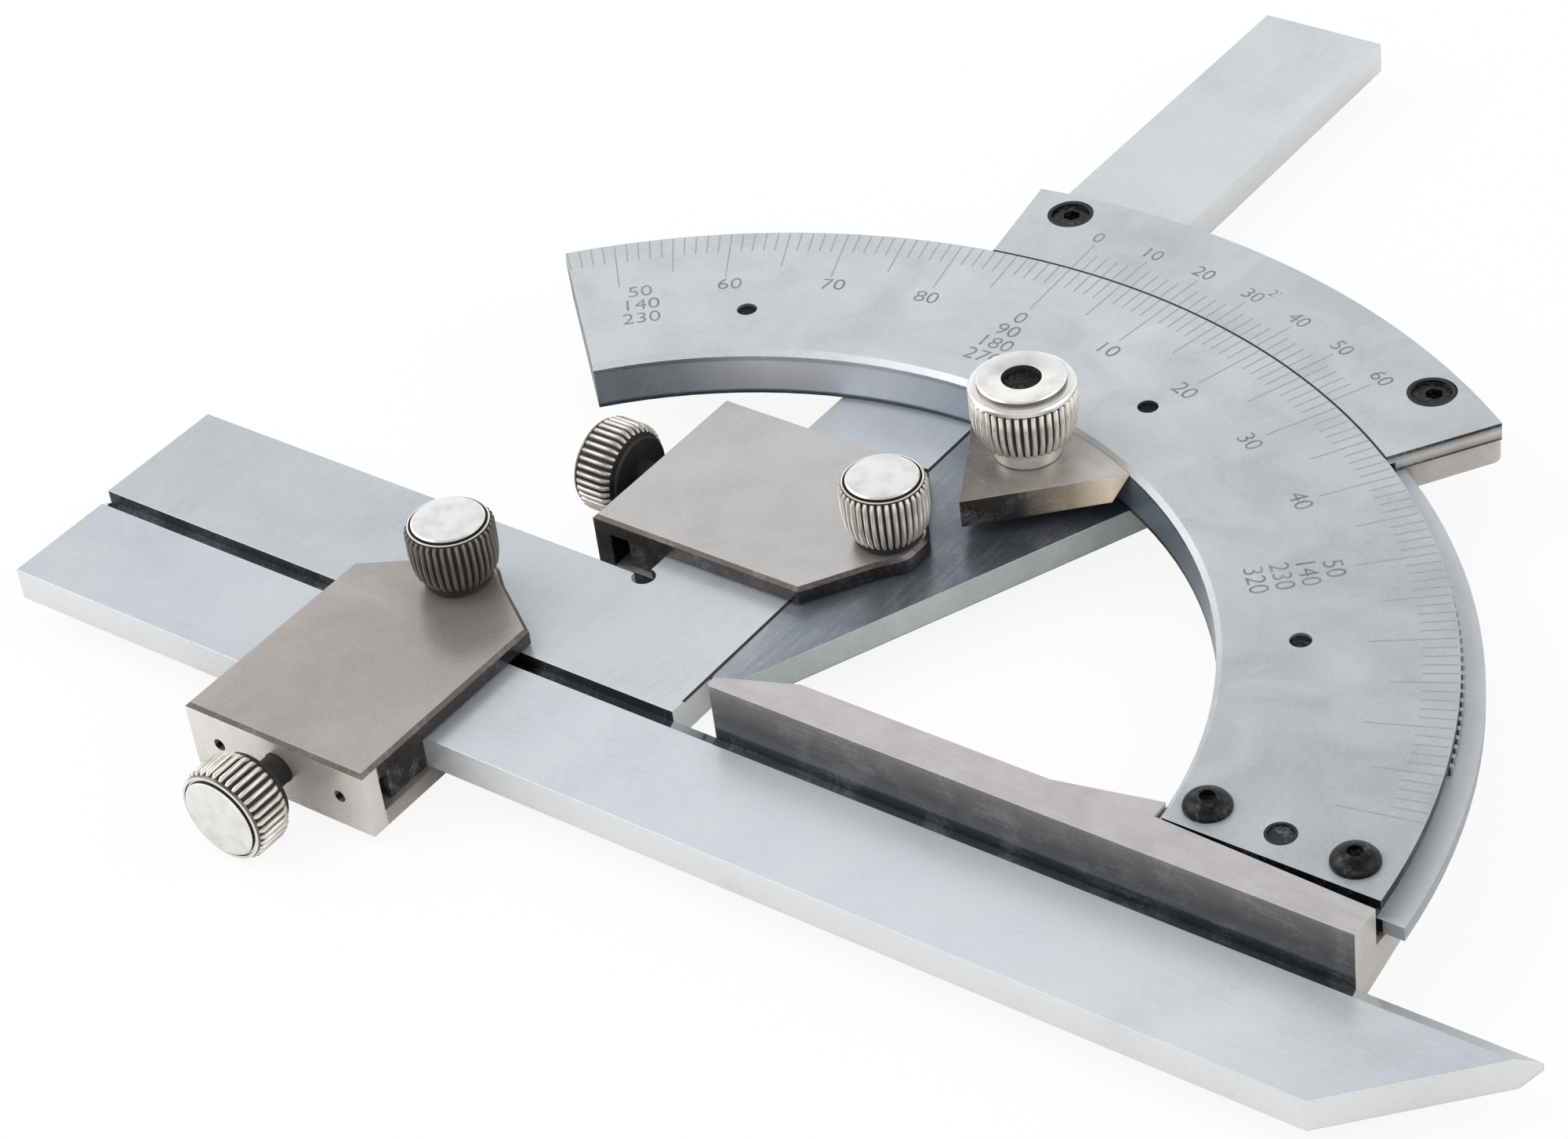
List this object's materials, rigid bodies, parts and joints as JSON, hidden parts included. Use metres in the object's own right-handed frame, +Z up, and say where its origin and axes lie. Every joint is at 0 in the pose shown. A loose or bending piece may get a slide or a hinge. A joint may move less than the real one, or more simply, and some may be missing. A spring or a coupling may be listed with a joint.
{
  "type": "bevel protractor",
  "caption": "Universal bevel protractor with arc scale and vernier, base rule, and a square and a blade held by screw clamps; measures angles between flat faces",
  "frame": {"origin": "the vertex where the measuring faces of the base rule and the blade meet, on the plane that the clamps rest on", "axes": "+X along the base rule to its outer end, +Y along the long leg of the square at reading 0, +Z up from the resting plane through the scale face"},
  "size_m": [0.1481, 0.15, 0.0181],
  "materials": {
    "scale_steel": "satin chrome with engraved lines",
    "arc_steel": "milled, lightly oiled",
    "plate_steel": "ground flat",
    "rule_steel": "ground and lapped on the measuring face",
    "blade_steel": "ground flat, satin",
    "brake_steel": "milled",
    "clamp_steel": "brushed",
    "pin_steel": "turned",
    "knob_chrome": "polished, straight knurl",
    "black_oxide": "black oxide on steel"
  },
  "bodies": {
    "base": {"base_rule": "rule_steel", "main_scale": "scale_steel", "gear_sector": "arc_steel", "scale_pins": "pin_steel", "base_screws": "black_oxide", "base_dowel": "pin_steel"},
    "sector": {"sector_plate": "plate_steel", "guide_rim": "arc_steel", "guide_screws": "black_oxide", "vernier_plate": "scale_steel", "vernier_screws": "black_oxide", "brake_stud": "black_oxide", "brake_spacer": "pin_steel", "brake_plate": "brake_steel"},
    "nut": {"brake_nut": "knob_chrome"},
    "pinion": {"pinion_shaft": "pin_steel", "thumb_wheel": "knob_chrome"},
    "square_holder": {"square_clamp_body": "clamp_steel"},
    "square_press": {"square_clamp_top_screw": "knob_chrome"},
    "square_gib": {"square_clamp_gib": "pin_steel", "square_clamp_pins": "pin_steel"},
    "square_screw": {"square_clamp_side_screw": "knob_chrome"},
    "square_leg": {"square": "blade_steel"},
    "blade_holder": {"blade_clamp_body": "clamp_steel"},
    "blade_press": {"blade_clamp_top_screw": "knob_chrome"},
    "blade_gib": {"blade_clamp_gib": "pin_steel", "blade_clamp_pins": "pin_steel"},
    "blade_screw": {"blade_clamp_side_screw": "knob_chrome"},
    "rule_blade": {"blade": "blade_steel"}
  },
  "joints": [
    {"name": "sector_swing", "type": "hinge", "parent": "base", "child": "sector", "pos_m": [0, 0, 0], "axis": [0, 0, 1], "range_deg": [-50, 0]},
    {"name": "pinion_turn", "type": "hinge", "parent": "sector", "child": "pinion", "pos_m": [0.01644, 0.06846, 0], "axis": [0, 0, 1], "range_deg": [-750, 0]},
    {"name": "nut_turn", "type": "hinge", "parent": "sector", "child": "nut", "pos_m": [0.0098, 0.0404, 0.00915], "axis": [0, 0, 1], "range_deg": [0, 180]},
    {"name": "square_holder_slide", "type": "slide", "parent": "sector", "child": "square_holder", "axis": [0, 1, 0], "range_m": [-0.008, 0]},
    {"name": "square_press_turn", "type": "hinge", "parent": "square_holder", "child": "square_press", "pos_m": [0.0039, 0.0268, 0.006], "axis": [0, 0, 1], "range_deg": [0, 180]},
    {"name": "square_gib_slide", "type": "slide", "parent": "square_holder", "child": "square_gib", "axis": [1, 0, 0], "range_m": [-0.001, 0]},
    {"name": "square_screw_turn", "type": "hinge", "parent": "square_gib", "child": "square_screw", "pos_m": [-0.0216, 0.0268, 0.0035], "axis": [1, 0, 0], "range_deg": [-720, 0]},
    {"name": "square_slide", "type": "slide", "parent": "square_holder", "child": "square_leg", "axis": [0, 1, 0], "range_m": [-0.03, 0]},
    {"name": "blade_holder_slide", "type": "slide", "parent": "square_leg", "child": "blade_holder", "axis": [1, 0, 0], "range_m": [-0.025, 0.01]},
    {"name": "blade_press_turn", "type": "hinge", "parent": "blade_holder", "child": "blade_press", "pos_m": [-0.0264, 0.0039, 0.006], "axis": [0, 0, 1], "range_deg": [0, 180]},
    {"name": "blade_gib_slide", "type": "slide", "parent": "blade_holder", "child": "blade_gib", "axis": [0, 1, 0], "range_m": [-0.001, 0]},
    {"name": "blade_screw_turn", "type": "hinge", "parent": "blade_gib", "child": "blade_screw", "pos_m": [-0.0264, -0.0209, 0.0035], "axis": [0, 1, 0], "range_deg": [-720, 0]},
    {"name": "blade_slide", "type": "slide", "parent": "blade_holder", "child": "rule_blade", "axis": [1, 0, 0], "range_m": [-0.07, 0.028]}
  ],
  "couplings": [
    {"joint": "pinion_turn", "follows": "sector_swing", "ratio": 15},
    {"joint": "square_screw_turn", "follows": "square_gib_slide", "rad_per_m": 12566},
    {"joint": "blade_screw_turn", "follows": "blade_gib_slide", "rad_per_m": 12566}
  ]
}
